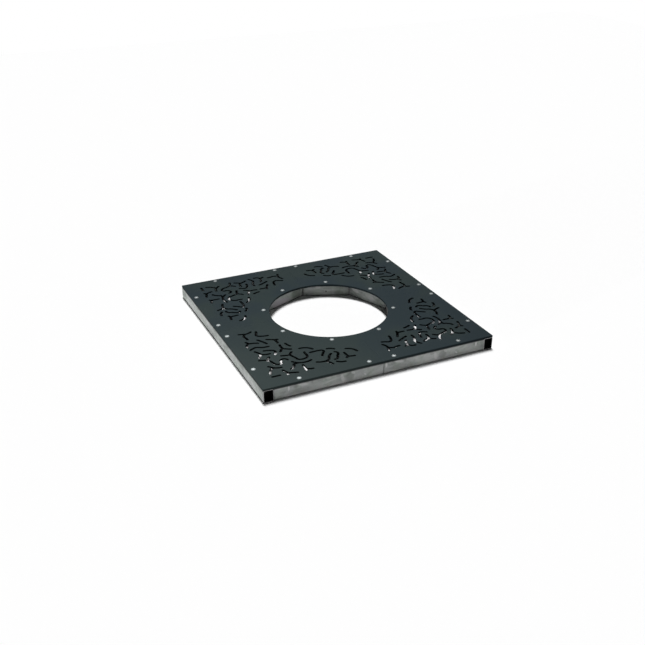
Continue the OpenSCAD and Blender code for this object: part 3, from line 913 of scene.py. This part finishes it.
def add_joining_bolts(tree, steel):
    """The bolts, nuts and washers that join the two halves of the frame."""
    bolts = solids_of("joining_bolts")
    nuts = solids_of("joining_nuts")
    head_seat = bolts[0][0].x + BOLT_HEAD_HEIGHT
    width = bolts[0][1].y - bolts[0][0].y
    flats = min(bolts[0][1].z - bolts[0][0].z, width)
    bolt = turned_round(laid_along_x(hexagon_bolt(flats, bolts[0][1].x - head_seat)))
    bolt_places = [Vector((head_seat, place.y, place.z)) for place in left_faces(bolts)]
    nut = laid_along_x(hexagon_nut(flats, nuts[0][1].x - nuts[0][0].x))
    rows = [
        ("hexagon_bolts", "joining_bolts", bolt, bolt_places),
        ("hexagon_nuts", "joining_nuts", nut, left_faces(nuts)),
    ]
    for name, node in (("flat_washers", "joining_washers"), ("spacer_washers", "joining_spacers")):
        boxes = solids_of(node)
        outer = (boxes[0][1].y - boxes[0][0].y) / 2
        thickness = boxes[0][1].x - boxes[0][0].x
        washer = laid_along_x(flat_washer(WASHER_BORE_SHARE * BOLT_DIAMETER / 2, outer, thickness))
        rows.append((name, node, washer, left_faces(boxes)))
    for seed, (name, node, part, places) in enumerate(rows):
        mesh = repeated_part(name, part, places, tree, steel, (1, 0, 0), 0.0, seed)
        piece = new_piece(name, mesh, steel)
        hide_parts(node)


def bead_feet():
    """Where the upright weld beads start, at the corners where tubes meet."""
    half = TUBE_WIDTH / 2
    ring_at_arm = (RING_OUTER - half * math.sin(HALF_RING_TURN)) / math.cos(HALF_RING_TURN)
    ring_at_split = (RING_OUTER - ARM_FAR * math.sin(HALF_RING_TURN)) / math.cos(HALF_RING_TURN)
    outer = RING_CORNER - 0.3 * BEAD_WIDTH
    inner = RING_INNER / math.cos(HALF_RING_TURN)
    feet = []
    for side in (-1, 1):
        for end in (-1, 1):
            feet.append((side * ring_at_arm, end * half))
            feet.append((side * FRAME_INSIDE, end * half))
            feet.append((side * ARM_FAR, end * ring_at_split))
            feet.append((side * ARM_FAR, end * FRAME_INSIDE))
            feet.append((side * FRAME_INSIDE, end * FRAME_INSIDE))
            feet.append((side * outer * math.cos(RING_TURN), end * outer * math.sin(RING_TURN)))
    for corner in WELDED_CORNERS:
        turn = corner * RING_TURN
        feet.append((inner * math.cos(turn), inner * math.sin(turn)))
    return [Vector((across, deep, BEAD_END)) for across, deep in feet]


def add_weld_beads(weld):
    """The weld beads, as one piece of their own."""
    mesh = grown_mesh("weld_beads", bead_feet(), weld_tree(), {
        "Bead Length": TUBE_HEIGHT - 2 * BEAD_END,
        "Bead Width": BEAD_WIDTH,
        "Ripple Pitch": RIPPLE_PITCH,
        "Ripple Share": RIPPLE_SHARE,
        "Unevenness": BEAD_UNEVENNESS,
        "Finish": weld,
    })
    new_piece("weld_beads", mesh, weld)


def add_coated_plate(node, coat):
    """A plate with its laser-cut edges rounded by the coat."""
    shell = merged_copy(node)
    bmesh.ops.dissolve_limit(
        shell,
        angle_limit=FLAT_ANGLE,
        use_dissolve_boundaries=False,
        verts=shell.verts,
        edges=shell.edges,
    )
    rims = [edge for edge in shell.edges if edge.is_manifold and edge.calc_face_angle() > RIM_ANGLE]
    rims = [edge for edge in rims if abs(edge.verts[0].co.z - edge.verts[1].co.z) < MERGE_DISTANCE]
    bmesh.ops.bevel(
        shell,
        geom=rims,
        offset=EDGE_ROUNDING,
        segments=ROUNDING_STEPS,
        profile=0.5,
        affect="EDGES",
        clamp_overlap=True,
    )
    mesh = smooth_mesh(shell, node + "_coated")
    piece = new_piece(node + "_coated", mesh, coat)
    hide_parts(node)


def paint_node(node, material):
    """Gives a carried-over CAD node its material."""
    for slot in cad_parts[node].material_slots:
        slot.material = material


# Studio


def floor_paint():
    """Matt white that throws less light back than the camera sees, and is clear from below."""
    paint = bpy.data.materials.new("studio_white")
    paint.use_nodes = True
    tree = paint.node_tree
    tree.nodes.remove(tree.nodes["Principled BSDF"])
    bounced = tree.nodes.new("ShaderNodeLightPath").outputs["Is Diffuse Ray"]
    colour = mix_colours(tree, bounced, grey(FLOOR_WHITE), grey(FLOOR_BOUNCE))
    matte = tree.nodes.new("ShaderNodeBsdfDiffuse")
    tree.links.new(colour, matte.inputs["Color"])
    clear = tree.nodes.new("ShaderNodeBsdfTransparent")
    below = tree.nodes.new("ShaderNodeNewGeometry").outputs["Backfacing"]
    either = tree.nodes.new("ShaderNodeMixShader")
    for socket, source in zip(either.inputs, (below, matte.outputs[0], clear.outputs[0])):
        tree.links.new(source, socket)
    tree.links.new(either.outputs[0], tree.nodes["Material Output"].inputs["Surface"])
    return paint


def add_floor():
    """A wide white floor, open to a camera below it."""
    shell = bmesh.new()
    bmesh.ops.create_grid(shell, x_segments=1, y_segments=1, size=FLOOR_SIZE / 2)
    mesh = bpy.data.meshes.new("studio_floor")
    shell.to_mesh(mesh)
    shell.free()
    mesh.materials.append(floor_paint())
    floor = bpy.data.objects.new("studio_floor", mesh)
    bpy.context.scene.collection.objects.link(floor)


def add_sky():
    """Soft grey light from all round, seen as white by the camera and by glossy surfaces."""
    world = bpy.data.worlds.new("studio_sky")
    bpy.context.scene.world = world
    world.use_nodes = True
    tree = world.node_tree
    path = tree.nodes.new("ShaderNodeLightPath")
    seen = path.outputs["Is Camera Ray"]
    for ray in ("Is Glossy Ray", "Is Transmission Ray"):
        seen = calculate(tree, "MAXIMUM", seen, path.outputs[ray])
    colour = mix_colours(tree, seen, grey(SKY_GREY), grey(1.0))
    tree.links.new(colour, tree.nodes["Background"].inputs["Color"])


def add_lamp(name, towards, spread, energy, colour):
    """A lamp so far away that all its light comes from one direction, but for its spread."""
    light = bpy.data.lights.new(name, "SUN")
    light.energy = energy
    light.angle = spread
    light.color = colour
    lamp = bpy.data.objects.new(name, light)
    lamp.rotation_euler = towards.to_track_quat("Z", "Y").to_euler()
    bpy.context.scene.collection.objects.link(lamp)


def add_lamps():
    """A long soft key light, from overhead down towards the back, and a low fill from the left."""
    for number, share in enumerate(KEY_SHARES):
        back_slope = KEY_BACK_SLOPE + (number - 1) * KEY_SLOPE_STEP
        towards = Vector((KEY_RIGHT_SLOPE, back_slope, 1))
        add_lamp("studio_key_" + str(number + 1), towards, KEY_SPREAD, share * KEY_ENERGY, WHITE)
    towards = Vector((math.cos(FILL_AZIMUTH), math.sin(FILL_AZIMUTH), FILL_SLOPE))
    add_lamp("studio_fill", towards, FILL_SPREAD, FILL_ENERGY, FILL_COLOUR)


def add_camera():
    """The camera that took the photograph."""
    lens = bpy.data.cameras.new("studio_camera")
    lens.lens = CAMERA_LENS
    lens.sensor_fit = "HORIZONTAL"
    camera = bpy.data.objects.new("studio_camera", lens)
    camera.location = CAMERA_PLACE
    camera.rotation_euler = (CAMERA_TILT, 0, CAMERA_TURN)
    bpy.context.scene.collection.objects.link(camera)
    bpy.context.scene.camera = camera


def dress_grate():
    """Finishes every node of the frame, and adds what the plain solids lack."""
    coat = anthracite_coat()
    zinc = galvanised_zinc("galvanised_zinc")
    side_zinc = galvanised_zinc("galvanised_zinc_side", sawn_ends=True)
    front_zinc = galvanised_zinc("galvanised_zinc_front", FRONT_MARKS, FRONT_MARK_PERIOD)
    ring_zinc = galvanised_zinc("galvanised_zinc_ring", RING_MARKS)
    # Painted shade: the zinc for the darkened ring tube
    shaded_ring_zinc = galvanised_zinc("galvanised_zinc_shaded", painted_shade_share=0.92)
    steel = stainless_steel()
    plastic = black_plastic()
    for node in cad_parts:
        if node.startswith("plate_") and node != "plate_screws":
            add_coated_plate(node, coat)
        elif node.startswith("end_cap"):
            paint_node(node, plastic)
        elif node.startswith(("front_tube", "back_tube")):
            paint_node(node, front_zinc)
        elif node.startswith("side_tube"):
            paint_node(node, side_zinc)
        elif node == SHADED_RING_TUBE:
            paint_node(node, shaded_ring_zinc)
        elif node.startswith("ring_tube"):
            paint_node(node, ring_zinc)
        elif "_arm_" in node:
            paint_node(node, zinc)
        else:
            paint_node(node, steel)
    tree = repeat_tree()
    add_plate_screws(tree, steel)
    add_joining_bolts(tree, steel)
    add_weld_beads(weld_zinc())


bpy.context.scene.view_settings.view_transform = "Standard"
add_camera()
add_sky()
add_lamps()
add_floor()
dress_grate()
